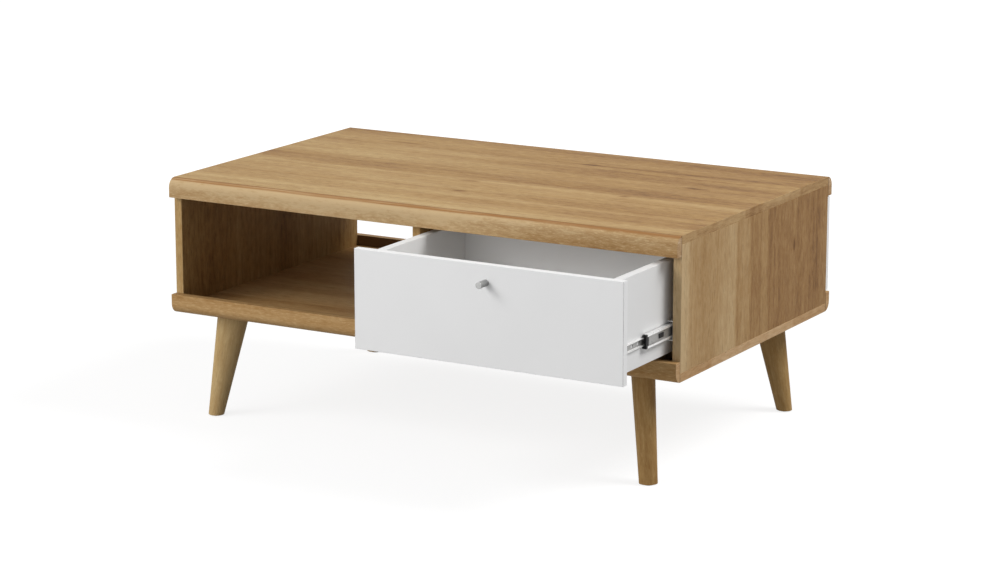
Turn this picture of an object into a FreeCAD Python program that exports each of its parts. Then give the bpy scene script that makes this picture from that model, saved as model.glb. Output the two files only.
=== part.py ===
import FreeCAD, Part
import math
import os

os.makedirs("parts", exist_ok=True)

# All lengths are in millimetres. The origin is on the floor under the middle of the carcass.
# +X is to the right, +Y to the back, +Z up. The drawer opens along -Y and is stored partly open.

# Carcass boards
carcass_width = 1070.0
panel_depth = 614.0
board = 16.0
side_height = 229.0
divider_centre = 0.0
edge_ease = 0.5

# Lips along the long edges of the top and bottom panels
lip_thickness = 17.0
lip_height = 37.0
lip_round = 18.0

# White drawer front and white back panel
face_board = 14.0
face_gap = 3.0
face_end_inset = 2.0
face_round = 1.0
front_gap = 2.0
front_left_reveal = 1.0

# Legs: tapered oval legs, set on the diagonals
leg_height = 199.0
leg_width_top = 62.5
leg_width_foot = 30.0
leg_thickness_top = 41.0
leg_thickness_foot = 34.0
leg_inset_x = 98.0
leg_inset_y = 49.0
leg_splay = 27.0
glide_radius = 10.0
glide_thickness = 2.0
glide_nail_radius = 1.0
glide_nail_length = 12.0

# Leg fixings
leg_bolt_radius = 4.0
leg_bolt_in_leg = 36.0
leg_bolt_in_panel = 12.0
insert_radius = 5.5
insert_length = 13.0
leg_dowel_offset = 18.0

# Drawer
drawer_open = 194.0
drawer_side_length = 322.0
drawer_side_rise = 7.0
drawer_side_drop = 8.0
drawer_bottom_board = 3.0
drawer_bottom_lift = 10.0
groove_depth = 8.0
front_groove_depth = 6.0
groove_end_gap = 0.5

# Knob and its screw
knob_radius = 6.0
knob_length = 25.0
knob_drop = 32.0
knob_round = 0.6
knob_screw_radius = 2.0
knob_screw_grip = 10.0
knob_screw_head_radius = 4.0
knob_screw_head_height = 2.4

# Drawer slides: heights are from the slide's centre line, depths from the carcass towards the drawer
slide_gap = 13.0
slide_length = 300.0
slide_travel = 290.0
slide_setback = 2.0
slide_rise = 43.0
slide_half_height = 17.5
slide_sheet = 1.2
slide_bend = 0.4
slide_air = 0.6
cabinet_flange_depth = 10.4
cabinet_flange_turn = 1.2
bead_height = 4.5
bead_depth = 2.2
intermediate_flange_depth = 11.0
intermediate_end_gap = 12.0
slide_slot_length = 9.0
slide_slot_height = 5.0
slide_slot_offsets = (62.0, 84.0, 190.0, 212.0)
cap_length = 5.0
cap_tongue = 4.0
stop_offset = 61.0
stop_length = 14.0
stop_height = 5.0
stop_rim = 1.5

# Ball cages: steel balls between the members
ball_radius = 1.7
ball_gap = 0.3
ball_pitch = 20.0
ball_count = 6
cage_sheet = 0.6
cage_length = 130.0
cage_margin = 2.5
outer_ball_depth = 6.0
inner_ball_depth = 9.7
cage_wing = 1.8

# Fasteners
dowel_radius = 4.0
dowel_in_edge = 18.0
dowel_in_face = 9.0
dowel_end_gap = 1.0
cam_radius = 7.5
cam_depth = 12.5
cam_drop = 24.0
cam_slot_length = 9.0
cam_slot_width = 1.6
cam_slot_depth = 1.5
cam_bolt_radius = 3.0
cam_bolt_neck_radius = 1.8
cam_bolt_neck = 5.0
cam_bolt_head = 3.0
cam_bolt_thread = 9.0
long_screw_radius = 3.4
long_screw_head_radius = 4.8
long_screw_head = 3.5
long_screw_length = 50.0
socket_sides = 6
hex_socket_radius = 2.0
hex_socket_depth = 2.5
slide_screw_radius = 1.65
slide_screw_head_radius = 2.7
slide_screw_head = 1.05
slide_screw_length = 14.0
slide_screw_offsets = (35.0, 150.0, 265.0)
fit_gap = 0.1
screw_gap = 0.05

# Where the fasteners sit
cam_y = 230.0
top_dowel_y = 120.0
bottom_dowel_y = 100.0
bottom_screw_y = 200.0
lip_dowel_count = 5
lip_dowel_margin = 95.0
lip_dowel_radius = 3.0
lip_dowel_in_lip = 7.0
back_panel_dowel_inset = 40.0
drawer_front_dowel_inset = 23.0
drawer_back_dowel_rise = 28.0
drawer_back_screw_rise = 48.0
drawer_back_screw_drop = 18.0
drawer_back_dowel_drop = 38.0

# Levels and planes that follow from the sizes above
half_width = carcass_width / 2
half_depth = panel_depth / 2
base = leg_height
floor_top = base + board
side_top = floor_top + side_height
table_top = side_top + board
left_centre = -half_width + board / 2
right_centre = half_width - board / 2
uprights = (left_centre, divider_centre, right_centre)
bay_left = divider_centre + board / 2
bay_right = half_width - board
face_low = base + lip_height + face_gap
face_high = table_top - lip_height - face_gap
front_back = -half_depth - front_gap
front_face = front_back - face_board
front_left = divider_centre + front_left_reveal
front_right = half_width - face_end_inset
drawer_left = bay_left + slide_gap
drawer_right = bay_right - slide_gap
drawer_rear = front_back + drawer_side_length
drawer_z0 = face_low + drawer_side_rise
drawer_z1 = face_high - drawer_side_drop
slide_z = drawer_z0 + slide_rise
slide_front = -half_depth + slide_setback
slide_rear = slide_front + slide_length
ball_space = 2 * (ball_radius + ball_gap)
middle_half_height = slide_half_height - slide_sheet - ball_space
inner_half_height = middle_half_height - slide_sheet - ball_space
outer_ball_height = slide_half_height - slide_sheet - ball_space / 2
inner_ball_height = middle_half_height - slide_sheet - ball_space / 2
outer_cage_depth = slide_sheet + slide_air
bead_start = outer_cage_depth + cage_sheet + slide_air
middle_web = bead_start + bead_depth
inner_cage_depth = middle_web + slide_sheet + slide_air
inner_flange_start = inner_cage_depth + cage_sheet + slide_air
middle_front = slide_front + slide_setback + cap_length
middle_rear = slide_rear - intermediate_end_gap
knob_x = (front_left + front_right) / 2
knob_z = face_high - knob_drop

V = FreeCAD.Vector
RIGHT = V(1, 0, 0)
LEFT = V(-1, 0, 0)
BACK = V(0, 1, 0)
FRONT = V(0, -1, 0)
UP = V(0, 0, 1)
DOWN = V(0, 0, -1)


# Small helpers

def block(x0, x1, y0, y1, z0, z1):
    return Part.makeBox(x1 - x0, y1 - y0, z1 - z0, V(x0, y0, z0))


def pin(radius, point, axis, behind, ahead):
    return Part.makeCylinder(radius, behind + ahead, point - axis * behind, axis)


def eased(shape, amount=edge_ease):
    return shape.makeChamfer(amount, shape.Edges)


def rounded(shape, radius):
    return shape.makeFillet(radius, shape.Edges)


def drilled(shape, tools):
    return shape.cut(tools)


def moved(shape, share):
    return shape.translated(FRONT * (drawer_open * share))


def save(name, shape):
    shape.exportStep("parts/" + name + ".step")


def save_group(name, solids):
    save(name, Part.makeCompound(solids))


# Fasteners: each maker gives the piece, or with a gap the hole that it goes in

def dowel(point, axis, gap=0.0):
    end = dowel_end_gap if gap else 0.0
    return pin(dowel_radius + gap, point, axis, dowel_in_edge + end, dowel_in_face + end)


def lip_dowel(point, axis, gap=0.0):
    end = dowel_end_gap if gap else 0.0
    return pin(lip_dowel_radius + gap, point, axis, dowel_in_edge + end, lip_dowel_in_lip + end)


def cam(face_point, inward, gap=0.0):
    return pin(cam_radius + gap, face_point, inward, 0, cam_depth + gap)


def cam_bolt_hole(point, axis):
    return pin(cam_bolt_radius + fit_gap, point, axis, cam_drop + cam_bolt_head, cam_bolt_thread + fit_gap)


def cam_bolt(point, axis):
    neck_start = cam_drop - cam_bolt_neck
    shaft = pin(cam_bolt_radius, point, axis, neck_start, cam_bolt_thread)
    neck = pin(cam_bolt_neck_radius, point - axis * neck_start, axis, cam_bolt_neck, 0)
    head = pin(cam_bolt_radius, point - axis * cam_drop, axis, cam_bolt_head - fit_gap, 0)
    return shaft.fuse([neck, head])


def cam_piece(face_point, inward, slot_along, bolt_hole):
    across = inward.cross(slot_along)
    corner = face_point - slot_along * (cam_slot_length / 2) - across * (cam_slot_width / 2)
    slot = Part.makePolygon([
        corner,
        corner + slot_along * cam_slot_length,
        corner + slot_along * cam_slot_length + across * cam_slot_width,
        corner + across * cam_slot_width,
        corner])
    slot = Part.Face(slot).extrude(inward * cam_slot_depth)
    return drilled(cam(face_point, inward), [slot, bolt_hole])


def long_screw(point, axis, gap=0.0):
    end = dowel_end_gap if gap else 0.0
    head = pin(long_screw_head_radius + gap, point, axis, 0, long_screw_head + gap)
    shank = pin(long_screw_radius + gap, point, axis, 0, long_screw_length + end)
    return head.fuse(shank)


def socket_screw(point, axis):
    turns = [2 * math.pi * k / socket_sides for k in range(socket_sides + 1)]
    hexagon = [V(hex_socket_radius * math.cos(t), hex_socket_radius * math.sin(t), 0) for t in turns]
    socket = Part.Face(Part.makePolygon(hexagon)).extrude(UP * hex_socket_depth)
    socket.Placement = FreeCAD.Placement(point, FreeCAD.Rotation(UP, axis))
    return long_screw(point, axis).cut(socket)


def slide_screw(point, axis, gap=0.0):
    end = dowel_end_gap if gap else 0.0
    wide = slide_screw_head_radius + gap
    narrow = slide_screw_radius + gap
    head = Part.makeCone(wide, narrow, slide_screw_head, point, axis)
    shank = pin(narrow, point, axis, 0, slide_screw_length + end)
    return head.fuse(shank)


# Places of the carcass fasteners

def top_dowel_places():
    return [V(x, y, side_top) for x in uprights for y in (-top_dowel_y, top_dowel_y)]


def bottom_dowel_places():
    return [V(x, y, floor_top) for x in uprights for y in (-bottom_dowel_y, bottom_dowel_y)]


def bottom_screw_places():
    return [V(x, y, base) for x in uprights for y in (-bottom_screw_y, bottom_screw_y)]


def carcass_cams():
    faces = ((left_centre, left_centre + board / 2, LEFT),
             (divider_centre, bay_left, LEFT),
             (right_centre, bay_right, RIGHT))
    places = []
    for centre, face, inward in faces:
        for y in (-cam_y, cam_y):
            places.append((V(centre, y, side_top), V(face, y, side_top - cam_drop), inward))
    return places


def lip_dowel_places(z):
    span = carcass_width - 2 * lip_dowel_margin
    step = span / (lip_dowel_count - 1)
    places = []
    for k in range(lip_dowel_count):
        x = -span / 2 + k * step
        places.append((V(x, -half_depth, z), FRONT))
        places.append((V(x, half_depth, z), BACK))
    return places


def back_panel_dowel_places():
    return [V(x, half_depth, z) for x in (divider_centre, right_centre)
            for z in (face_low + back_panel_dowel_inset, face_high - back_panel_dowel_inset)]


def leg_corners():
    return [(sx, sy) for sy in (-1, 1) for sx in (-1, 1)]


def leg_top(sx, sy):
    return V(sx * (half_width - leg_inset_x), sy * (half_depth - leg_inset_y), base)


def leg_foot(sx, sy):
    top = leg_top(sx, sy)
    return V(top.x + sx * leg_splay, top.y + sy * leg_splay, glide_thickness)


def leg_dowel_place(sx, sy):
    return leg_top(sx, sy) + V(sx, sy, 0).normalize() * leg_dowel_offset


def top_joint_holes():
    holes = [dowel(p, UP, fit_gap) for p in top_dowel_places()]
    return holes + [cam_bolt_hole(joint, UP) for joint, face, inward in carcass_cams()]


def bottom_joint_holes():
    holes = [dowel(p, DOWN, fit_gap) for p in bottom_dowel_places()]
    return holes + [long_screw(p, UP, screw_gap) for p in bottom_screw_places()]


def lip_holes(z):
    return [lip_dowel(p, axis, fit_gap) for p, axis in lip_dowel_places(z)]


def back_panel_holes():
    return [dowel(p, BACK, fit_gap) for p in back_panel_dowel_places()]


# Carcass

def top_panel():
    body = eased(block(-half_width, half_width, -half_depth, half_depth, side_top, table_top))
    return drilled(body, top_joint_holes() + lip_holes(side_top + board / 2))


def bottom_panel():
    body = eased(block(-half_width, half_width, -half_depth, half_depth, base, floor_top))
    holes = bottom_joint_holes() + lip_holes(base + board / 2)
    for sx, sy in leg_corners():
        holes.append(pin(insert_radius + fit_gap, leg_top(sx, sy), UP, 0, insert_length + fit_gap))
        holes.append(dowel(leg_dowel_place(sx, sy), UP, fit_gap))
    return drilled(body, holes)


def upright(centre):
    body = eased(block(centre - board / 2, centre + board / 2, -half_depth, half_depth, floor_top, side_top))
    holes = top_joint_holes() + bottom_joint_holes() + back_panel_holes()
    holes += [cam(face, inward, fit_gap) for joint, face, inward in carcass_cams()]
    holes += [slide_screw(p, axis, screw_gap) for p, axis in cabinet_screw_places()]
    return drilled(body, holes)


def lip(side, upper):
    """A strip cut from a deeper bar, so that its outer corner can be rounder than the strip is thick."""
    y_in = side * half_depth
    y_out = side * (half_depth + lip_thickness)
    y_bar = y_in - side * lip_round
    z0 = table_top - lip_height if upper else base
    z1 = z0 + lip_height
    body = block(-half_width, half_width, min(y_bar, y_out), max(y_bar, y_out), z0, z1)
    z_round = z1 if upper else z0
    corner = [e for e in body.Edges if e.BoundBox.XLength > lip_height
              and abs(e.CenterOfMass.y - y_out) < edge_ease and abs(e.CenterOfMass.z - z_round) < edge_ease]
    body = body.makeFillet(lip_round, corner)
    body = body.cut(block(-half_width, half_width, min(y_bar, y_in), max(y_bar, y_in), z0, z1))
    sharp = []
    for edge in body.Edges:
        at_end = edge.BoundBox.XLength < edge_ease
        at_corner_y = min(abs(edge.CenterOfMass.y - y_in), abs(edge.CenterOfMass.y - y_out)) < edge_ease
        at_corner_z = min(abs(edge.CenterOfMass.z - z0), abs(edge.CenterOfMass.z - z1)) < edge_ease
        if at_end or (at_corner_y and at_corner_z):
            sharp.append(edge)
    body = body.makeChamfer(edge_ease, sharp)
    z_panel = side_top + board / 2 if upper else base + board / 2
    return drilled(body, lip_holes(z_panel))


def back_panel():
    left = divider_centre - board / 2 + face_end_inset
    body = block(left, front_right, half_depth, half_depth + face_board, face_low, face_high)
    return drilled(rounded(body, face_round), back_panel_holes())


# Legs

def leg_section(width, thickness, centre, angle):
    """An oval: a circle as wide as the leg, pressed to the leg's thickness."""
    press = FreeCAD.Matrix()
    press.scale(1, thickness / width, 1)
    oval = Part.Wire(Part.makeCircle(width / 2).transformGeometry(press).Edges)
    oval.Placement = FreeCAD.Placement(centre, FreeCAD.Rotation(UP, angle))
    return oval


def leg(sx, sy):
    angle = math.degrees(math.atan2(sy, sx))
    sections = [leg_section(leg_width_top, leg_thickness_top, leg_top(sx, sy), angle),
                leg_section(leg_width_foot, leg_thickness_foot, leg_foot(sx, sy), angle)]
    body = Part.makeLoft(sections, True, True)
    holes = [pin(leg_bolt_radius + fit_gap, leg_top(sx, sy), DOWN, 0, leg_bolt_in_leg + dowel_end_gap),
             dowel(leg_dowel_place(sx, sy), UP, fit_gap),
             pin(glide_nail_radius + screw_gap, leg_foot(sx, sy), UP, 0, glide_nail_length + dowel_end_gap)]
    return drilled(body, holes)


def glide(sx, sy):
    foot = leg_foot(sx, sy)
    disc = pin(glide_radius, foot, DOWN, 0, glide_thickness)
    return disc.fuse(pin(glide_nail_radius, foot, UP, 0, glide_nail_length))


def hanger_bolt(sx, sy):
    return pin(leg_bolt_radius, leg_top(sx, sy), UP, leg_bolt_in_leg, leg_bolt_in_panel)


def insert_nut(sx, sy):
    nut = pin(insert_radius, leg_top(sx, sy), UP, 0, insert_length)
    return nut.cut(pin(leg_bolt_radius + fit_gap, leg_top(sx, sy), UP, 0, leg_bolt_in_panel + fit_gap))


# Drawer, built closed

def groove():
    z0 = drawer_z0 + drawer_bottom_lift
    return block(drawer_left + board - groove_depth, drawer_right - board + groove_depth,
                 front_back - front_groove_depth, drawer_rear - board + groove_depth,
                 z0 - fit_gap, z0 + drawer_bottom_board + fit_gap)


def drawer_bottom():
    z0 = drawer_z0 + drawer_bottom_lift
    inset = groove_depth - groove_end_gap
    return block(drawer_left + board - inset, drawer_right - board + inset,
                 front_back - front_groove_depth + groove_end_gap, drawer_rear - board + inset,
                 z0, z0 + drawer_bottom_board)


def drawer_side_centres():
    return ((drawer_left + board / 2, drawer_left, RIGHT), (drawer_right - board / 2, drawer_right, LEFT))


def drawer_cams():
    z = (drawer_z0 + drawer_z1) / 2
    return [(V(centre, front_back, z), V(face, front_back + cam_drop, z), inward)
            for centre, face, inward in drawer_side_centres()]


def drawer_front_dowel_places():
    return [V(centre, front_back, z) for centre, face, inward in drawer_side_centres()
            for z in (drawer_z0 + drawer_front_dowel_inset, drawer_z1 - drawer_front_dowel_inset)]


def drawer_back_dowel_places():
    y = drawer_rear - board / 2
    return [(V(face, y, z) + inward * board, inward * -1) for centre, face, inward in drawer_side_centres()
            for z in (drawer_z0 + drawer_back_dowel_rise, drawer_z1 - drawer_back_dowel_drop)]


def drawer_back_screw_places():
    y = drawer_rear - board / 2
    return [(V(face, y, z), inward) for centre, face, inward in drawer_side_centres()
            for z in (drawer_z0 + drawer_back_screw_rise, drawer_z1 - drawer_back_screw_drop)]


def drawer_joint_holes():
    holes = [cam_bolt_hole(joint, FRONT) for joint, face, inward in drawer_cams()]
    holes += [dowel(p, FRONT, fit_gap) for p in drawer_front_dowel_places()]
    holes += [dowel(p, axis, fit_gap) for p, axis in drawer_back_dowel_places()]
    holes += [long_screw(p, axis, screw_gap) for p, axis in drawer_back_screw_places()]
    return holes


def drawer_front():
    body = rounded(block(front_left, front_right, front_face, front_back, face_low, face_high), face_round)
    screw_hole = pin(knob_screw_radius + fit_gap, V(knob_x, front_back, knob_z), FRONT, 0, face_board)
    return drilled(body, drawer_joint_holes() + [groove(), screw_hole])


def drawer_side(centre):
    body = eased(block(centre - board / 2, centre + board / 2, front_back, drawer_rear, drawer_z0, drawer_z1))
    holes = drawer_joint_holes() + [groove()]
    holes += [cam(face, inward, fit_gap) for joint, face, inward in drawer_cams()]
    holes += [slide_screw(p, axis, screw_gap) for p, axis in drawer_screw_places()]
    return drilled(body, holes)


def drawer_back():
    body = eased(block(drawer_left + board, drawer_right - board, drawer_rear - board, drawer_rear,
                       drawer_z0, drawer_z1))
    return drilled(body, drawer_joint_holes() + [groove()])


def knob():
    body = pin(knob_radius, V(knob_x, front_face, knob_z), FRONT, 0, knob_length)
    end = [e for e in body.Edges if abs(e.CenterOfMass.y - (front_face - knob_length)) < knob_round]
    body = body.makeFillet(knob_round, end)
    thread = pin(knob_screw_radius + screw_gap, V(knob_x, front_face, knob_z), FRONT, 0,
                 knob_screw_grip + dowel_end_gap)
    return body.cut(thread)


def knob_screw():
    start = V(knob_x, front_back, knob_z)
    head = pin(knob_screw_head_radius, start, BACK, 0, knob_screw_head_height)
    return head.fuse(pin(knob_screw_radius, start, FRONT, 0, face_board + knob_screw_grip))


# Drawer slides, built closed. A slide point is (depth from the carcass, height from the centre line)

def slide_x(side, depth):
    return bay_left + depth if side == "left" else bay_right - depth


def slide_block(side, d0, d1, h0, h1, y0, y1):
    xa = slide_x(side, d0)
    xb = slide_x(side, d1)
    return block(min(xa, xb), max(xa, xb), y0, y1, slide_z + h0, slide_z + h1)


def bent_sheet(side, path, thickness, bend, y0, y1):
    half = thickness / 2
    runs = []
    for (da, ha), (db, hb) in zip(path, path[1:]):
        runs.append(slide_block(side, min(da, db) - half, max(da, db) + half,
                                min(ha, hb) - half, max(ha, hb) + half, y0, y1))
    body = runs[0].fuse(runs[1:]).removeSplitter()
    folds = [e for e in body.Edges if e.BoundBox.YLength > (y1 - y0) / 2]
    return body.makeFillet(bend, folds)


def mirrored_path(points):
    return points + [(d, -h) for d, h in reversed(points)]


def towards_carcass(side):
    return LEFT if side == "left" else RIGHT


def cabinet_screw_places():
    return [(V(slide_x(side, slide_sheet), slide_front + offset, slide_z), towards_carcass(side))
            for side in ("left", "right") for offset in slide_screw_offsets]


def drawer_screw_places():
    depth = slide_gap - slide_sheet
    return [(V(slide_x(side, depth), slide_front + offset, slide_z), towards_carcass(side) * -1)
            for side in ("left", "right") for offset in slide_screw_offsets]


def slide_slots(side, depth):
    tools = []
    half = (slide_slot_length - slide_slot_height) / 2
    for offset in slide_slot_offsets:
        y = slide_front + offset
        tool = slide_block(side, depth - slide_sheet, depth + slide_sheet,
                           -slide_slot_height / 2, slide_slot_height / 2, y - half, y + half)
        for end in (y - half, y + half):
            centre = V(slide_x(side, depth), end, slide_z)
            tool = tool.fuse(pin(slide_slot_height / 2, centre, RIGHT, slide_sheet, slide_sheet))
        tools.append(tool)
    return tools


def cabinet_member(side):
    half = slide_sheet / 2
    tip = cabinet_flange_depth - half
    edge = slide_half_height - half
    path = mirrored_path([(tip, edge - cabinet_flange_turn), (tip, edge), (half, edge)])
    body = bent_sheet(side, path, slide_sheet, slide_bend, slide_front, slide_rear)
    holes = [slide_screw(p, axis, screw_gap) for p, axis in cabinet_screw_places()]
    return drilled(body, holes + slide_slots(side, half))


def intermediate_member(side):
    half = slide_sheet / 2
    edge = middle_half_height - half
    lower = middle_half_height - bead_height + half
    path = mirrored_path([(intermediate_flange_depth - half, edge), (bead_start + half, edge),
                          (bead_start + half, lower), (middle_web + half, lower)])
    body = bent_sheet(side, path, slide_sheet, slide_bend, middle_front, middle_rear)
    return body.cut(stop_block(side, middle_web - slide_sheet, middle_web + 2 * slide_sheet, fit_gap))


def stop_block(side, depth0, depth1, margin):
    centre = slide_front + stop_offset
    return slide_block(side, depth0, depth1, -stop_height / 2 - margin, stop_height / 2 + margin,
                       centre - stop_length / 2 - margin, centre + stop_length / 2 + margin)


def stop_piece(side):
    rim = stop_block(side, middle_web - slide_sheet, middle_web, stop_rim)
    plug = stop_block(side, middle_web - slide_sheet, middle_web + slide_sheet, 0.0)
    return rim.fuse(plug).removeSplitter()


def front_cap(side):
    front = middle_front - cap_length
    body = slide_block(side, bead_start, intermediate_flange_depth,
                       -middle_half_height, middle_half_height, front, middle_front)
    upright_edges = [e for e in body.Edges if e.BoundBox.YLength > cap_length / 2]
    body = body.makeFillet(slide_sheet, upright_edges)
    passage = slide_block(side, inner_cage_depth, slide_gap, -inner_half_height - slide_air,
                          inner_half_height + slide_air, front, middle_front)
    recess = middle_half_height - bead_height - slide_bend - fit_gap
    tongue = slide_block(side, bead_start, middle_web, -recess, recess,
                         middle_front, middle_front + cap_tongue)
    return body.cut(passage).fuse(tongue).removeSplitter()


def drawer_member(side):
    half = slide_sheet / 2
    edge = inner_half_height - half
    path = mirrored_path([(inner_flange_start + half, edge), (slide_gap - half, edge)])
    body = bent_sheet(side, path, slide_sheet, slide_bend, slide_front + slide_setback, slide_rear)
    holes = [slide_screw(p, axis, screw_gap) for p, axis in drawer_screw_places()]
    return drilled(body, holes + slide_slots(side, slide_gap - half))


def ball_places(side, depth, height, front):
    return [V(slide_x(side, depth), front + ball_pitch * (k + 0.5), slide_z + sign * height)
            for sign in (1, -1) for k in range(ball_count)]


def balls(places):
    return [Part.makeSphere(ball_radius, p) for p in places]


def cage(side, web, depth, height, front, places):
    half = cage_sheet / 2
    path = mirrored_path([(depth + cage_wing, height), (web + half, height)])
    body = bent_sheet(side, path, cage_sheet, half / 2, front, front + cage_length)
    pockets = [pin(ball_radius + fit_gap, p, UP, cage_sheet, cage_sheet) for p in places]
    return body.cut(pockets)


def save_slide(side):
    save(side + "_slide_cabinet_member", cabinet_member(side))
    save(side + "_slide_intermediate_member", moved(intermediate_member(side), 1 / 2))
    save(side + "_slide_front_cap", moved(front_cap(side), 1 / 2))
    save(side + "_slide_stop", moved(stop_piece(side), 1 / 2))
    save(side + "_slide_drawer_member", moved(drawer_member(side), 1))
    outer_front = slide_front + slide_travel / 4 + cage_margin
    inner_front = middle_front + slide_travel / 4 + cage_margin
    outer = ball_places(side, outer_ball_depth, outer_ball_height, outer_front)
    inner = ball_places(side, inner_ball_depth, inner_ball_height, inner_front)
    outer_cage = cage(side, outer_cage_depth, outer_ball_depth, outer_ball_height, outer_front, outer)
    inner_cage = cage(side, inner_cage_depth, inner_ball_depth, inner_ball_height, inner_front, inner)
    save(side + "_slide_outer_ball_cage", moved(outer_cage, 1 / 4))
    save(side + "_slide_inner_ball_cage", moved(inner_cage, 3 / 4))
    save_group(side + "_slide_outer_balls", [moved(b, 1 / 4) for b in balls(outer)])
    save_group(side + "_slide_inner_balls", [moved(b, 3 / 4) for b in balls(inner)])


def save_carcass():
    save("top_panel", top_panel())
    save("bottom_panel", bottom_panel())
    save("left_side", upright(left_centre))
    save("divider", upright(divider_centre))
    save("right_side", upright(right_centre))
    save("front_top_lip", lip(-1, True))
    save("front_bottom_lip", lip(-1, False))
    save("back_top_lip", lip(1, True))
    save("back_bottom_lip", lip(1, False))
    save("back_panel", back_panel())


def save_carcass_fasteners():
    carcass_dowels = [dowel(p, UP) for p in top_dowel_places()]
    carcass_dowels += [dowel(p, DOWN) for p in bottom_dowel_places()]
    save_group("carcass_dowels", carcass_dowels)
    lip_dowels = []
    for z in (side_top + board / 2, base + board / 2):
        lip_dowels += [lip_dowel(p, axis) for p, axis in lip_dowel_places(z)]
    save_group("lip_dowels", lip_dowels)
    save_group("back_panel_dowels", [dowel(p, BACK) for p in back_panel_dowel_places()])
    save_group("bottom_panel_screws", [socket_screw(p, UP) for p in bottom_screw_places()])
    save_group("top_panel_cam_bolts", [cam_bolt(joint, UP) for joint, face, inward in carcass_cams()])
    save_group("top_panel_cams", [cam_piece(face, inward, BACK, cam_bolt_hole(joint, UP))
                                  for joint, face, inward in carcass_cams()])
    save_group("slide_cabinet_screws", [slide_screw(p, axis) for p, axis in cabinet_screw_places()])


def save_legs():
    for sx, sy in leg_corners():
        depth_name = "front" if sy < 0 else "back"
        side_name = "left" if sx < 0 else "right"
        save("leg_" + depth_name + "_" + side_name, leg(sx, sy))
    corners = leg_corners()
    save_group("leg_hanger_bolts", [hanger_bolt(sx, sy) for sx, sy in corners])
    save_group("leg_insert_nuts", [insert_nut(sx, sy) for sx, sy in corners])
    save_group("leg_dowels", [dowel(leg_dowel_place(sx, sy), UP) for sx, sy in corners])
    save_group("leg_glides", [glide(sx, sy) for sx, sy in corners])


def save_drawer():
    left, right = drawer_side_centres()
    save("drawer_front", moved(drawer_front(), 1))
    save("drawer_left_side", moved(drawer_side(left[0]), 1))
    save("drawer_right_side", moved(drawer_side(right[0]), 1))
    save("drawer_back", moved(drawer_back(), 1))
    save("drawer_bottom", moved(drawer_bottom(), 1))
    save("knob", moved(knob(), 1))
    save("knob_screw", moved(knob_screw(), 1))
    cams = [cam_piece(face, inward, UP, cam_bolt_hole(joint, FRONT)) for joint, face, inward in drawer_cams()]
    save_group("drawer_front_cams", [moved(s, 1) for s in cams])
    bolts = [cam_bolt(joint, FRONT) for joint, face, inward in drawer_cams()]
    save_group("drawer_front_cam_bolts", [moved(s, 1) for s in bolts])
    dowels = [dowel(p, FRONT) for p in drawer_front_dowel_places()]
    dowels += [dowel(p, axis) for p, axis in drawer_back_dowel_places()]
    save_group("drawer_dowels", [moved(s, 1) for s in dowels])
    screws = [socket_screw(p, axis) for p, axis in drawer_back_screw_places()]
    save_group("drawer_back_screws", [moved(s, 1) for s in screws])
    save_group("slide_drawer_screws", [moved(slide_screw(p, axis), 1) for p, axis in drawer_screw_places()])


save_carcass()
save_carcass_fasteners()
save_legs()
save_drawer()
save_slide("left")
save_slide("right")
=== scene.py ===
# Finishes, camera and light for a coffee table with one drawer and an open bay.
import math

import bpy
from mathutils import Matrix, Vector


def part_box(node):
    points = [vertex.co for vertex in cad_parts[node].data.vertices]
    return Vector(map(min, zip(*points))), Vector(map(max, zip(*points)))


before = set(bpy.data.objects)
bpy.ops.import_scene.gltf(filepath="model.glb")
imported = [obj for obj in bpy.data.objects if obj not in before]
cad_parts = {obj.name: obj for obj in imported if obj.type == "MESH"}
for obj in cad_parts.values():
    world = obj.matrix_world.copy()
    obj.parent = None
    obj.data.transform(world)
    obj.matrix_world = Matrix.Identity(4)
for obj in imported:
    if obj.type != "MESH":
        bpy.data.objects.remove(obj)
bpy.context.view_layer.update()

X, Y, Z = (1.0, 0.0, 0.0), (0.0, 1.0, 0.0), (0.0, 0.0, 1.0)
MM = 0.001

# Oak colours, linear, from the darkest grain to the palest
OAK_TONES = [
    (0.00, (0.160, 0.076, 0.024)),
    (0.25, (0.300, 0.162, 0.056)),
    (0.50, (0.405, 0.246, 0.095)),
    (0.75, (0.490, 0.325, 0.144)),
    (1.00, (0.580, 0.418, 0.206)),
]
OAK_WARM = [(place, (red, green * 0.93, blue * 0.92)) for place, (red, green, blue) in OAK_TONES]
OAK_PALE = [(place, (red, green, blue * 1.12)) for place, (red, green, blue) in OAK_TONES]
OAK_PALEST = OAK_TONES[-1][1]
# dark colour of the pores, also used for the painted shade in the lip joints
OAK_PORE_AND_SHADE = (0.120, 0.062, 0.028)
OAK_HEART = (0.330, 0.160, 0.056)
END_TINT = (1.12, 1.17, 1.40)

# Colours of the white boards, the metal and the plastic, linear
WHITE_FACE = (0.870, 0.870, 0.870)
WHITE_BOX = (0.820, 0.820, 0.816)
WHITE_THIN = (0.800, 0.797, 0.790)
BAND_GLUE = (0.300, 0.300, 0.300)
KNOB_METAL = (0.370, 0.370, 0.365)
SLIDE_STEEL = (0.360, 0.355, 0.345)
# painted highlight colour for the bands along the slides' ball raceways
RACEWAY_HIGHLIGHT = (0.960, 0.955, 0.945)
CAGE_STEEL = (0.420, 0.420, 0.430)
BALL_STEEL = (0.760, 0.760, 0.770)
ZINC_CAST = (0.520, 0.520, 0.530)
SCREW_STEEL = (0.600, 0.590, 0.560)
BLACK_PLASTIC = (0.014, 0.014, 0.015)
GLIDE_PLASTIC = (0.120, 0.085, 0.055)

# Oak patterns: repeats per metre along the grain and across it
WANDER = (2.2, 1.5)
LONG_STREAKS = (0.8, 17.0)
THIN_STREAKS = (11.0, 150.0)
CLOUDS = (5.0, 14.0)
BLOTCHES = (44.0, 130.0)
RAY_FLECKS = (90.0, 480.0)
HEART_GAPS = (7.0, 300.0)
PORES = (55.0, 1150.0)
PORE_ROWS = (1.6, 85.0)
SEED_STEP = (3.17, 1.73, 0.61)

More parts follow.
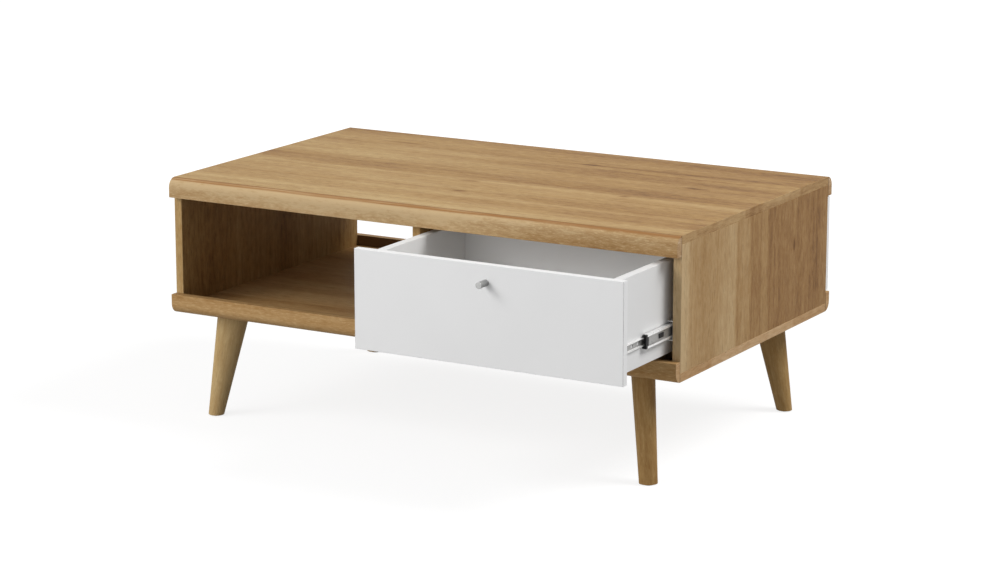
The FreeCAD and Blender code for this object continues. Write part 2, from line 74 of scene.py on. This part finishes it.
# Oak details: lengths in metres, and depths as shares of the range of tones or of the colour
PLANK_BLEND = 4.0 * MM
PLANK_DRIFT = 16.0 * MM
HEART_DRIFT = 2.0 * MM
# Width and darkness of the painted shade line in the lip joints
SEAM_SHADE_WIDTH = 3.5 * MM
SEAM_SHADE_DEPTH = 0.8
CLOUD_DEPTH = 0.18
KNOT_DEPTH = 0.34
KNOT_REACH = 1.3
KNOT_RAGGED = 0.6
OAK_WEAR = 0.22
OAK_RELIEF = 0.12 * MM
OAK_GLOSS = 0.06

# Other details
SQUARE_ON = 0.7
BAND_LINE = 1.6 * MM
BAND_DEPTH = 0.6
# How far the painted highlight bands along the ball raceways go towards bright steel
RACEWAY_HIGHLIGHT_DEPTH = 0.9
# How far the edges of the foil and the metal turn towards a painted highlight
EDGE_HIGHLIGHT = 0.5
PLASTIC_GLOSS = 0.15
TURNING_RINGS = 5200.0


def scaled(colour, factor):
    """A colour made lighter or darker by a factor."""
    return tuple(min(1.0, c * factor) for c in colour)


class Nodes:
    """A shader node tree, with short calls that add its nodes and join them."""

    def __init__(self, tree):
        self.tree = tree
        self.tree.nodes.clear()

    def put(self, socket, value):
        """Joins a socket to another, or sets it to a constant."""
        if isinstance(value, bpy.types.NodeSocket):
            self.tree.links.new(value, socket)
        elif socket.type == "RGBA":
            socket.default_value = (*value, 1.0)
        else:
            socket.default_value = value

    def node(self, kind, inputs=None, **settings):
        made = self.tree.nodes.new("ShaderNode" + kind)
        for key, value in settings.items():
            setattr(made, key, value)
        for key, value in (inputs or {}).items():
            self.put(made.inputs[key], value)
        return made

    def math(self, operation, a, b=0.0, clamp=False):
        return self.node("Math", {0: a, 1: b}, operation=operation, use_clamp=clamp).outputs[0]

    def vector(self, operation, a, b):
        return self.node("VectorMath", {0: a, 1: b}, operation=operation).outputs["Vector"]

    def dot(self, a, b):
        return self.node("VectorMath", {0: a, 1: b}, operation="DOT_PRODUCT").outputs["Value"]

    def length(self, a):
        return self.node("VectorMath", {0: a}, operation="LENGTH").outputs["Value"]

    def combine(self, x, y, z):
        return self.node("CombineXYZ", {0: x, 1: y, 2: z}).outputs[0]

    def separate(self, a):
        return self.node("SeparateXYZ", {0: a}).outputs

    def remap(self, value, low, high, to_low=0.0, to_high=1.0, smooth=False):
        kind = "SMOOTHSTEP" if smooth else "LINEAR"
        return self.node("MapRange", {0: value, 1: low, 2: high, 3: to_low, 4: to_high},
                         interpolation_type=kind).outputs[0]

    def swing(self, value, reach):
        """A value from 0 to 1 turned into a change of up to so much either way."""
        return self.remap(value, 0.0, 1.0, -reach, reach)

    def mix(self, factor, a, b, blend="MIX"):
        return self.node("Mix", {0: factor, 6: a, 7: b}, data_type="RGBA", blend_type=blend).outputs[2]

    def choose(self, factor, a, b):
        return self.node("Mix", {0: factor, 4: a, 5: b}, data_type="VECTOR").outputs[1]

    def noise(self, place, detail=3.0, roughness=0.55, distortion=0.0):
        inputs = {"Vector": place, "Scale": 1.0, "Detail": detail, "Roughness": roughness}
        return self.node("TexNoise", {**inputs, "Distortion": distortion}).outputs[0]

    def ramp(self, value, stops):
        """A colour for each value: stops are pairs of a position and a colour or a grey level."""
        made = self.node("ValToRGB", {0: value})
        points = made.color_ramp.elements
        while len(points) < len(stops):
            points.new(0.5)
        for point, (position, colour) in zip(points, stops):
            point.position = position
            point.color = (*colour, 1.0) if isinstance(colour, tuple) else (colour, colour, colour, 1.0)
        return made.outputs[0]

    def seen_directly(self):
        """1 for rays from the camera and for those mirrored or passed on by shiny and clear surfaces."""
        path = self.node("LightPath").outputs
        both = self.math("ADD", path["Is Camera Ray"], path["Is Glossy Ray"])
        return self.math("ADD", both, path["Is Transmission Ray"], clamp=True)


class Finish(Nodes):
    """One procedural material, laid out in the coordinates of the object that wears it."""

    def __init__(self, name):
        self.material = bpy.data.materials.new(name)
        self.material.use_nodes = True
        super().__init__(self.material.node_tree)
        self.output = self.node("OutputMaterial")
        coordinates = self.node("TexCoord").outputs
        self.place = coordinates["Object"]
        self.facing = coordinates["Normal"]

    def in_axes(self, axes):
        """The place, measured along three other axes."""
        return self.combine(*(self.dot(self.place, axis) for axis in axes))

    def facing_along(self, axis):
        """1 on faces that look straight along an axis, either way, and 0 on those beside it."""
        return self.math("ABSOLUTE", self.dot(self.facing, axis))

    def speckle(self, repeats, **settings):
        """Noise with so many repeats per metre: one number, or one each along X, Y and Z."""
        scale = repeats if isinstance(repeats, tuple) else (repeats, repeats, repeats)
        return self.noise(self.vector("MULTIPLY", self.place, scale), **settings)

    def edge(self, radius):
        """1 near the part's edges, fading to 0 on its flats."""
        rounded = self.node("Bevel", {"Radius": radius}, samples=4).outputs[0]
        flat = self.node("NewGeometry").outputs["Normal"]
        return self.remap(self.dot(rounded, flat), 0.995, 0.80)

    def edge_wear_and_highlight(self, colour, paler, radius, share):
        """A colour that turns paler, by a share, near the part's edges: wear on the oak and the plastic, a
        painted highlight on the white foil and the metal.
        """
        return self.mix(self.math("MULTIPLY", self.edge(radius), share), colour, paler)

    def bump(self, height, distance, strength):
        return self.node("Bump", {"Height": height, "Distance": distance, "Strength": strength}).outputs[0]

    def surface(self, colour, roughness, normal, **constants):
        inputs = {"Base Color": colour, "Roughness": roughness, "Normal": normal}
        inputs.update({key.replace("_", " "): value for key, value in constants.items()})
        shader = self.node("BsdfPrincipled", inputs)
        self.put(self.output.inputs["Surface"], shader.outputs[0])
        return self.material


def plank_stops(planks, low, high):
    """Grey stops for plank strips, given as pairs of a starting place and a tone, with short blends."""
    stops = []
    for k, (start, tone) in enumerate(planks):
        if k:
            stops.append(((start + PLANK_BLEND - low) / (high - low), tone))
        end = planks[k + 1][0] if k + 1 < len(planks) else high
        stops.append(((end - PLANK_BLEND - low) / (high - low), tone))
    return stops


class Oak(Finish):
    """Oak whose grain runs along the first of three axes, and along another one on banded end faces."""

    def __init__(self, name, axes, seed, ends=None):
        super().__init__(name)
        self.own = self.in_axes(axes)
        self.along, self.across, self.through = self.separate(self.own)
        grain = self.own
        if ends:
            self.on_end = self.math("GREATER_THAN", self.facing_along(axes[0]), SQUARE_ON)
            grain = self.choose(self.on_end, self.own, self.in_axes(ends))
        self.grain = self.vector("ADD", grain, tuple(seed * step for step in SEED_STEP))
        self.wander = self.pattern(WANDER, detail=2.0)
        self.thin_streaks = self.pattern(THIN_STREAKS, roughness=0.6)

    def pattern(self, repeats, **settings):
        """Noise with so many repeats per metre along the grain and across it."""
        along, across = repeats
        return self.noise(self.vector("MULTIPLY", self.grain, (along, across, across)), **settings)

    def strips(self, planks, span):
        """The tone of plank strips, whose joints drift a little along the board."""
        drift = self.math("ADD", self.across, self.swing(self.wander, PLANK_DRIFT))
        return self.ramp(self.remap(drift, *span), plank_stops(planks, *span))

    def faded(self, level, start, end, depth):
        """A tone that darkens along the grain."""
        return self.math("SUBTRACT", level, self.remap(self.along, start, end, 0.0, depth, smooth=True))

    def painted_lighter(self, level, start, end, depth):
        """A tone that lightens along the through direction, as a painted highlight."""
        return self.math("ADD", level, self.remap(self.through, start, end, -depth, depth))

    def figured(self, level, streak, fine, mottle, fleck):
        """A tone with long and thin streaks, clouds, blotches and pale ray flecks."""
        long_streaks = self.pattern(LONG_STREAKS, detail=5.0, roughness=0.60, distortion=0.15)
        clouds = self.pattern(CLOUDS, detail=4.0)
        blotches = self.pattern(BLOTCHES, detail=4.0, roughness=0.7)
        streaks = ((long_streaks, streak), (self.thin_streaks, fine))
        patches = ((clouds, CLOUD_DEPTH), (blotches, mottle))
        for pattern, depth in streaks + patches:
            level = self.math("ADD", level, self.swing(pattern, depth))
        if fleck:
            rays = self.pattern(RAY_FLECKS, detail=4.0, roughness=0.65)
            level = self.math("ADD", level, self.remap(rays, 0.46, 0.72, 0.0, fleck, smooth=True))
        return level

    def knotted(self, level, knots):
        """A tone that darkens towards each knot."""
        for knot_along, knot_across, half_length, half_width in knots:
            away = self.vector("SUBTRACT", self.own, (knot_along, knot_across, 0.0))
            away = self.vector("MULTIPLY", away, (1.0 / half_length, 1.0 / half_width, 0.0))
            ragged = self.math("ADD", self.length(away), self.swing(self.thin_streaks, KNOT_RAGGED))
            dark = self.remap(ragged, KNOT_REACH, 0.0, 0.0, KNOT_DEPTH, smooth=True)
            level = self.math("SUBTRACT", level, dark)
        return level

    def heartwood(self, colour, start, end, strength):
        """A colour with darker heartwood, thinner in places, which sets in from one height to another."""
        height = self.math("ADD", self.through, self.swing(self.wander, HEART_DRIFT))
        gaps = self.remap(self.pattern(HEART_GAPS), 0.30, 0.55, 0.45, 1.0)
        inside = self.math("MULTIPLY", self.remap(height, start, end, 0.0, strength), gaps)
        return self.mix(inside, colour, OAK_HEART)

    def pores(self):
        """1 in the open pores, which stand in rows along the grain."""
        field = self.remap(self.pattern(PORES, detail=1.0), 0.56, 0.70)
        rows = self.remap(self.pattern(PORE_ROWS, detail=2.0), 0.35, 0.65)
        return self.math("MULTIPLY", field, rows)

    def seam_shaded(self, colour, place):
        """A colour with a line of painted shade at one place across the grain, where a joint's groove lies.
        """
        away = self.math("ABSOLUTE", self.math("SUBTRACT", self.across, place))
        return self.mix(self.remap(away, 0.0, SEAM_SHADE_WIDTH, SEAM_SHADE_DEPTH, 0.0), colour, OAK_PORE_AND_SHADE)


def oak(name, axes, seed, planks=(), span=(0.0, 1.0), ends=None, knots=(), heart=None, tone=0.5,
        streak=0.40, fine=0.22, mottle=0.46, fleck=0.0, fade=None, painted_rise=None, tones=OAK_TONES, pore=0.55,
        shaded_seam=None):
    """An oak finish, with its grain along the first of the axes.

    planks are strips of one tone each, placed along the second axis within span. ends gives the axes of the
    grain on banded end faces. knots are (along, across, half length, half width). heart sets in along the
    third axis from one place to another, with a strength. fade darkens the board along its grain from one
    place to another, by an amount, and rise lightens it along the third axis in the same way, a painted
    highlight. pore is how dark the pores are, and seam is the place of a line of painted shade across the
    grain, where a joint's groove lies."""
    wood = Oak(name, axes, seed, ends)
    level = wood.strips(planks, span) if planks else tone
    if fade:
        level = wood.faded(level, *fade)
    if painted_rise:
        level = wood.painted_lighter(level, *painted_rise)
    level = wood.figured(level, streak, fine, mottle, fleck)
    level = wood.knotted(level, knots)
    colour = wood.ramp(level, tones)
    if ends:
        colour = wood.mix(wood.on_end, colour, END_TINT, "MULTIPLY")
    if heart:
        colour = wood.heartwood(colour, *heart)
    pores = wood.pores()
    colour = wood.mix(wood.math("MULTIPLY", pores, pore), colour, OAK_PORE_AND_SHADE)
    # painted shade along the groove of the joint
    if shaded_seam is not None:
        colour = wood.seam_shaded(colour, shaded_seam)
    colour = wood.edge_wear_and_highlight(colour, OAK_PALEST, 0.9 * MM, OAK_WEAR)
    streaky = wood.remap(wood.thin_streaks, 0.2, 0.8, 0.44, 0.58)
    rough = wood.math("ADD", streaky, wood.math("MULTIPLY", pores, 0.12))
    height = wood.math("SUBTRACT", wood.math("MULTIPLY", wood.thin_streaks, 0.35), pores)
    return wood.surface(colour, rough, wood.bump(height, OAK_RELIEF, 0.35), Specular_IOR_Level=OAK_GLOSS)


def foil(name, colour, rough, peel, banded=None):
    """White foil or lacquer: faint clouding, a fine orange peel and slightly brighter edges, which are a
    painted highlight.

    banded gives where a board with banded ends starts and stops along X, for the glue lines beside them."""
    f = Finish(name)
    cloud = f.speckle(5.0)
    grain = f.speckle(950.0, detail=2.0)
    base = f.mix(f.remap(cloud, 0.3, 0.7), scaled(colour, 0.985), scaled(colour, 1.012))
    # painted highlight: the edges turn paler
    base = f.edge_wear_and_highlight(base, scaled(colour, 1.06), 0.8 * MM, EDGE_HIGHLIGHT)
    if banded:
        start, stop = banded
        x = f.separate(f.place)[0]
        from_end = f.math("MINIMUM", f.math("SUBTRACT", x, start), f.math("SUBTRACT", stop, x))
        on_face = f.math("LESS_THAN", f.facing_along(X), SQUARE_ON)
        line = f.math("MULTIPLY", f.remap(from_end, 0.0, BAND_LINE, BAND_DEPTH, 0.0), on_face)
        base = f.mix(line, base, BAND_GLUE)
    sheen = f.math("ADD", cloud, f.math("MULTIPLY", grain, 0.4))
    gloss = f.remap(sheen, 0.4, 1.0, rough - 0.05, rough + 0.07)
    return f.surface(base, gloss, f.bump(grain, peel, 0.3))


def metal(name, colour, rough, repeats, relief, raceway_highlight=None, metallic=1.0):
    """Metal with a rolled or brushed direction, cloudy plating and brighter edges, which are a painted
    highlight.

    Two painted highlight bands, set by a middle height, a half height and a width, brighten the rounded ball
    raceways.
    A satin plating has a lower metallic share."""
    f = Finish(name)
    lines = f.speckle(repeats, roughness=0.6)
    cloud = f.speckle(90.0, detail=4.0)
    base = f.mix(f.remap(cloud, 0.3, 0.7), scaled(colour, 0.86), scaled(colour, 1.08))
    # painted highlight: the edges turn paler
    base = f.edge_wear_and_highlight(base, scaled(colour, 1.25), 0.4 * MM, EDGE_HIGHLIGHT)
    # painted highlight: bright bands along the ball raceways
    if raceway_highlight:
        middle, half_height, width = raceway_highlight
        from_middle = f.math("ABSOLUTE", f.math("SUBTRACT", f.separate(f.place)[2], middle))
        highlight_band = f.remap(from_middle, half_height - width, half_height - 0.7 * width, 0.0, RACEWAY_HIGHLIGHT_DEPTH)
        base = f.mix(highlight_band, base, RACEWAY_HIGHLIGHT)
    gloss = f.remap(f.math("ADD", lines, cloud), 0.6, 1.4, rough - 0.07, rough + 0.10)
    return f.surface(base, gloss, f.bump(lines, relief, 0.35), Metallic=metallic)


def turned(name, colour, rough, axis_x, axis_z, relief):
    """Metal turned on a lathe about an axis along Y: rings round the barrel and on the end face."""
    f = Finish(name)
    x, y, z = f.separate(f.place)
    radius = f.length(f.combine(f.math("SUBTRACT", x, axis_x), 0.0, f.math("SUBTRACT", z, axis_z)))
    profile = f.combine(radius, y, 0.0)
    rings = f.noise(f.vector("MULTIPLY", profile, (TURNING_RINGS, TURNING_RINGS, 1.0)), detail=2.0)
    cloud = f.speckle(160.0)
    base = f.mix(f.remap(f.math("ADD", rings, cloud), 0.6, 1.4), scaled(colour, 0.88), scaled(colour, 1.10))
    # painted highlight: the edges turn paler
    base = f.edge_wear_and_highlight(base, scaled(colour, 1.3), 0.5 * MM, EDGE_HIGHLIGHT)
    gloss = f.remap(rings, 0.3, 0.7, rough - 0.06, rough + 0.08)
    return f.surface(base, gloss, f.bump(rings, relief, 0.4), Metallic=1.0)


def plastic(name, colour, rough, relief):
    """Moulded plastic with a fine spark-eroded texture and paler scuffed edges."""
    f = Finish(name)
    grain = f.speckle(1600.0, detail=2.0)
    cloud = f.speckle(60.0)
    base = f.mix(f.remap(cloud, 0.3, 0.7), scaled(colour, 0.8), scaled(colour, 1.25))
    base = f.edge_wear_and_highlight(base, scaled(colour, 2.2), 0.4 * MM, 0.4)
    gloss = f.remap(grain, 0.3, 0.7, rough - 0.08, rough + 0.10)
    return f.surface(base, gloss, f.bump(grain, relief, 0.4), Specular_IOR_Level=PLASTIC_GLOSS)


def paint(material, *names):
    """Puts a finish on the material slots of the named nodes."""
    for name in names:
        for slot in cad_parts[name].material_slots:
            slot.material = material


def node_span(name, axis):
    """Where a node starts and ends along one axis, in metres."""
    low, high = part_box(name)
    return low[axis], high[axis]


# Grain along X or Z, and along Y on banded end faces
ALONG_X = (X, Y, Z)
ALONG_Z = (Z, Y, X)
ENDS_ALONG_Y = (Y, Z, X)

# Strips of tone on the boards, each with the place where it starts, from the front edge to the back edge
depth_span = node_span("top_panel", 1)
FRONT = depth_span[0]
TOP_PLANKS = [(FRONT, 0.65), (-0.251, 0.55), (-0.166, 0.61), (-0.051, 0.42), (-0.036, 0.33), (-0.018, 0.42),
              (0.000, 0.36), (0.014, 0.46), (0.024, 0.55), (0.066, 0.58), (0.184, 0.42), (0.194, 0.50)]
BOTTOM_PLANKS = [(FRONT, 0.56), (-0.190, 0.80), (-0.060, 0.70), (0.050, 0.76), (0.160, 0.62)]
# The right side's tones also darken towards the back: partly plank tone, partly painted shade
RIGHT_PLANKS_AND_SHADE = [(FRONT, 0.92), (-0.284, 0.64), (-0.168, 0.76), (-0.088, 0.52), (-0.030, 0.32),
                (0.015, 0.48), (0.045, 0.30), (0.075, 0.33), (0.173, 0.17), (0.195, 0.23)]
LEFT_PLANKS = [(FRONT, 0.95), (-0.303, 0.44), (-0.215, 0.40), (-0.120, 0.55), (-0.020, 0.42), (0.090, 0.58),
               (0.200, 0.46)]
DIVIDER_PLANKS = [(FRONT, 0.55), (-0.180, 0.45), (-0.070, 0.60), (0.060, 0.40), (0.170, 0.55)]

# Knots: the place along the grain and across it, half the length and half the width
TOP_KNOTS = [(-0.345, 0.214, 0.050, 0.010), (0.095, 0.189, 0.030, 0.008), (0.370, 0.074, 0.034, 0.009),
             (0.000, -0.156, 0.020, 0.012), (-0.030, -0.063, 0.022, 0.012), (0.290, -0.054, 0.016, 0.010)]
RIGHT_KNOTS = [(0.358, 0.158, 0.014, 0.008)]


def paint_boards():
    """The five oak boards of the carcass."""
    paint(oak("oak_top", ALONG_X, 1, TOP_PLANKS, depth_span, ENDS_ALONG_Y, TOP_KNOTS,
              fade=(-0.40, 0.50, 0.17), streak=0.62, mottle=0.36), "top_panel")
    paint(oak("oak_bottom", ALONG_X, 2, BOTTOM_PLANKS, depth_span, ENDS_ALONG_Y, tones=OAK_WARM,
              mottle=0.36), "bottom_panel")
    paint(oak("oak_right", ALONG_Z, 3, RIGHT_PLANKS_AND_SHADE, depth_span, knots=RIGHT_KNOTS, tones=OAK_PALE,
              streak=0.36, mottle=0.36), "right_side")
    paint(oak("oak_left", ALONG_Z, 4, LEFT_PLANKS, depth_span), "left_side")
    paint(oak("oak_divider", ALONG_Z, 5, DIVIDER_PLANKS, depth_span), "divider")


def paint_lips():
    """The four lips, the upper two with a darker heartwood strip along the joint with the board."""
    for k, side in enumerate(("front", "back")):
        lip_top = node_span(side + "_top_lip", 2)[1]
        strip = (lip_top - 4.6 * MM, lip_top - 2.6 * MM, 0.95)
        # painted highlight: the upper part of each lip, where its rounding faces up, turns paler
        painted_highlight_top = (lip_top - 33.0 * MM, lip_top - 6.0 * MM, 0.17)
        # where each lip meets the board, for its line of painted shade
        joint = node_span("top_panel", 1)[k]
        shared = {"ends": ENDS_ALONG_Y, "streak": 0.26, "fine": 0.26, "pore": 0.12, "shaded_seam": joint}
        # Both upper lips darken along X towards the right end: partly the wood's tone, partly painted shade
        paint(oak("oak_" + side + "_top_lip", ALONG_X, 6 + k, heart=strip, tone=0.83, mottle=0.42, fleck=0.42,
                  fade=(-0.05, 0.45, 0.36), painted_rise=painted_highlight_top, tones=OAK_PALE, **shared), side + "_top_lip")
        paint(oak("oak_" + side + "_bottom_lip", ALONG_X, 8 + k, tone=0.60, mottle=0.34, fleck=0.30,
                  tones=OAK_WARM, **shared), side + "_bottom_lip")


# Each leg leans by its splay, both ways, over its height
LEG_SPLAY = 27.0
LEG_HEIGHT = 197.0
# A tone for each leg: painted light makes the front left leg paler, painted shade makes the front right and
# back right legs darker
LEG_LIT_AND_SHADED_TONE = {"front_left": 0.88, "front_right": 0.44, "back_left": 0.60, "back_right": 0.50}


def paint_legs():
    """The four legs, with the grain along each leg's own slope and a tone for each leg that paints its light
    and shade.
    """
    lean = LEG_SPLAY / LEG_HEIGHT
    for k, (corner, tone) in enumerate(LEG_LIT_AND_SHADED_TONE.items()):
        lean_x = lean if "right" in corner else -lean
        lean_y = lean if "back" in corner else -lean
        axes = (Z, (1.0, 0.0, lean_x), (0.0, 1.0, lean_y))
        paint(oak("oak_leg_" + corner, axes, 11 + k, tone=tone, streak=0.34, fine=0.30, mottle=0.20,
                  fleck=0.16, pore=0.30), "leg_" + corner)


def paint_white_boards():
    """The drawer and the back panel."""
    paint(foil("white_face", WHITE_FACE, 0.34, 0.03 * MM, node_span("drawer_front", 0)), "drawer_front")
    paint(foil("white_box", WHITE_BOX, 0.46, 0.05 * MM),
          "drawer_left_side", "drawer_right_side", "drawer_back", "back_panel")
    paint(foil("white_thin_board", WHITE_THIN, 0.52, 0.05 * MM), "drawer_bottom")


SLIDE_SIDES = ("left_slide_", "right_slide_")
# Width of the painted highlight bands along each member's ball raceways
RACEWAY_HIGHLIGHT_WIDTH = {"cabinet_member": 2.0 * MM, "intermediate_member": 4.6 * MM, "drawer_member": 2.2 * MM}


def paint_slides():
    """The drawer slides: rolled steel members, cages, balls, caps and stops."""
    for member, width in RACEWAY_HIGHLIGHT_WIDTH.items():
        # painted highlight bands at the top and bottom of each member
        low, high = node_span("right_slide_" + member, 2)
        raceway_highlight = ((low + high) / 2, (high - low) / 2, width)
        steel = metal("steel_" + member, SLIDE_STEEL, 0.30, (1500.0, 45.0, 1500.0), 0.02 * MM, raceway_highlight, 0.45)
        paint(steel, *(side + member for side in SLIDE_SIDES))
    cage_steel = metal("cage_steel", CAGE_STEEL, 0.36, (1200.0, 60.0, 1200.0), 0.02 * MM)
    ball_steel = metal("ball_steel", BALL_STEEL, 0.16, 800.0, 0.005 * MM)
    black_plastic = plastic("black_plastic", BLACK_PLASTIC, 0.42, 0.03 * MM)
    for side in SLIDE_SIDES:
        paint(cage_steel, side + "outer_ball_cage", side + "inner_ball_cage")
        paint(ball_steel, side + "outer_balls", side + "inner_balls")
        paint(black_plastic, side + "front_cap", side + "stop")


def paint_fittings():
    """The knob, the glides and the fasteners."""
    knob_low, knob_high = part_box("knob")
    knob_axis = (Vector(knob_low) + Vector(knob_high)) / 2
    paint(turned("knob_metal", KNOB_METAL, 0.34, knob_axis.x, knob_axis.z, 0.02 * MM), "knob")
    paint(plastic("glide_plastic", GLIDE_PLASTIC, 0.55, 0.04 * MM), "leg_glides")
    paint(metal("zinc_fitting", ZINC_CAST, 0.44, 700.0, 0.04 * MM), "leg_insert_nuts",
          "top_panel_cams", "top_panel_cam_bolts", "drawer_front_cams", "drawer_front_cam_bolts")
    paint(metal("screw_steel", SCREW_STEEL, 0.34, (900.0, 900.0, 180.0), 0.03 * MM), "knob_screw",
          "leg_hanger_bolts", "bottom_panel_screws", "drawer_back_screws", "slide_cabinet_screws",
          "slide_drawer_screws")
    paint(oak("beech_dowel", ALONG_X, 20, tone=0.9, streak=0.15, fine=0.2), "leg_dowels",
          "carcass_dowels", "lip_dowels", "back_panel_dowels", "drawer_dowels")


def make_floor(size, bounce, shade, glow, white_from, white_to):
    """A pale floor that keeps the shadow under the table, and turns to plain white farther out."""
    mesh = bpy.data.meshes.new("floor")
    h = size / 2
    mesh.from_pydata([(-h, -h, 0), (h, -h, 0), (h, h, 0), (-h, h, 0)], [], [(0, 1, 2, 3)])
    floor = bpy.data.objects.new("floor", mesh)
    bpy.context.scene.collection.objects.link(floor)
    f = Finish("floor_white")
    plain = f.node("BsdfDiffuse", {"Color": (bounce, bounce, bounce)}).outputs[0]
    shaded = f.node("BsdfDiffuse", {"Color": (shade, shade, shade)}).outputs[0]
    strength = f.remap(f.length(f.place), white_from, white_to, glow, 1.0, smooth=True)
    glowing = f.node("Emission", {"Color": (1.0, 1.0, 1.0), "Strength": strength}).outputs[0]
    white = f.node("AddShader", {0: shaded, 1: glowing}).outputs[0]
    mixed = f.node("MixShader", {0: f.seen_directly(), 1: plain, 2: white}).outputs[0]
    f.put(f.output.inputs["Surface"], mixed)
    mesh.materials.append(f.material)


def make_world(level):
    """Soft light from all round, and a white background where it is seen."""
    world = bpy.data.worlds.new("studio")
    bpy.context.scene.world = world
    world.use_nodes = True
    sky = Nodes(world.node_tree)
    soft = sky.node("Background", {"Color": (level, level, level)}).outputs[0]
    white = sky.node("Background", {"Color": (1.0, 1.0, 1.0)}).outputs[0]
    mixed = sky.node("MixShader", {0: sky.seen_directly(), 1: soft, 2: white}).outputs[0]
    sky.node("OutputWorld", {"Surface": mixed})


LAMP_DISTANCE = 6.0
LAMP_AIM = (0.0, 0.0, 0.25)


def make_lamp(name, direction, size, level):
    """A square soft box that lights a face turned to it at about the given level, where 1 is full white."""
    lamp = bpy.data.lights.new(name, "AREA")
    lamp.shape = "SQUARE"
    lamp.size = size
    lamp.energy = level * math.pi ** 2 * LAMP_DISTANCE ** 2
    lamp_object = bpy.data.objects.new(name, lamp)
    lamp_object.location = Vector(LAMP_AIM) + Vector(direction).normalized() * LAMP_DISTANCE
    lamp_object.rotation_euler = Vector(direction).to_track_quat("Z", "Y").to_euler()
    lamp_object.visible_camera = False
    bpy.context.scene.collection.objects.link(lamp_object)


CAMERA_PLACE = (2.8364, -4.9314, 1.5596)
CAMERA_DOWN = 13.005
CAMERA_TURN = 29.927
LENS_MM = 110.62
SENSOR_MM = 36.0


def make_camera():
    """The photograph's viewpoint: from the front right, a little above, with a long lens."""
    lens = bpy.data.cameras.new("camera")
    lens.sensor_width = SENSOR_MM
    lens.lens = LENS_MM
    lens.clip_end = 100.0
    camera = bpy.data.objects.new("camera", lens)
    camera.location = CAMERA_PLACE
    camera.rotation_euler = (math.radians(90.0 - CAMERA_DOWN), 0.0, math.radians(CAMERA_TURN))
    bpy.context.scene.collection.objects.link(camera)
    bpy.context.scene.camera = camera


paint_boards()
paint_lips()
paint_legs()
paint_white_boards()
paint_slides()
paint_fittings()
make_floor(size=60.0, bounce=0.40, shade=0.24, glow=0.84, white_from=1.2, white_to=3.2)
make_world(0.24)
make_lamp("key_lamp", (-0.62, -0.66, 0.60), 2.8, 0.40)
make_lamp("fill_lamp", (-0.26, -1.00, 0.28), 3.0, 0.265)
make_lamp("right_lamp", (1.0, 0.34, 1.15), 2.4, 0.67)
make_camera()
bpy.context.scene.view_settings.view_transform = "Standard"
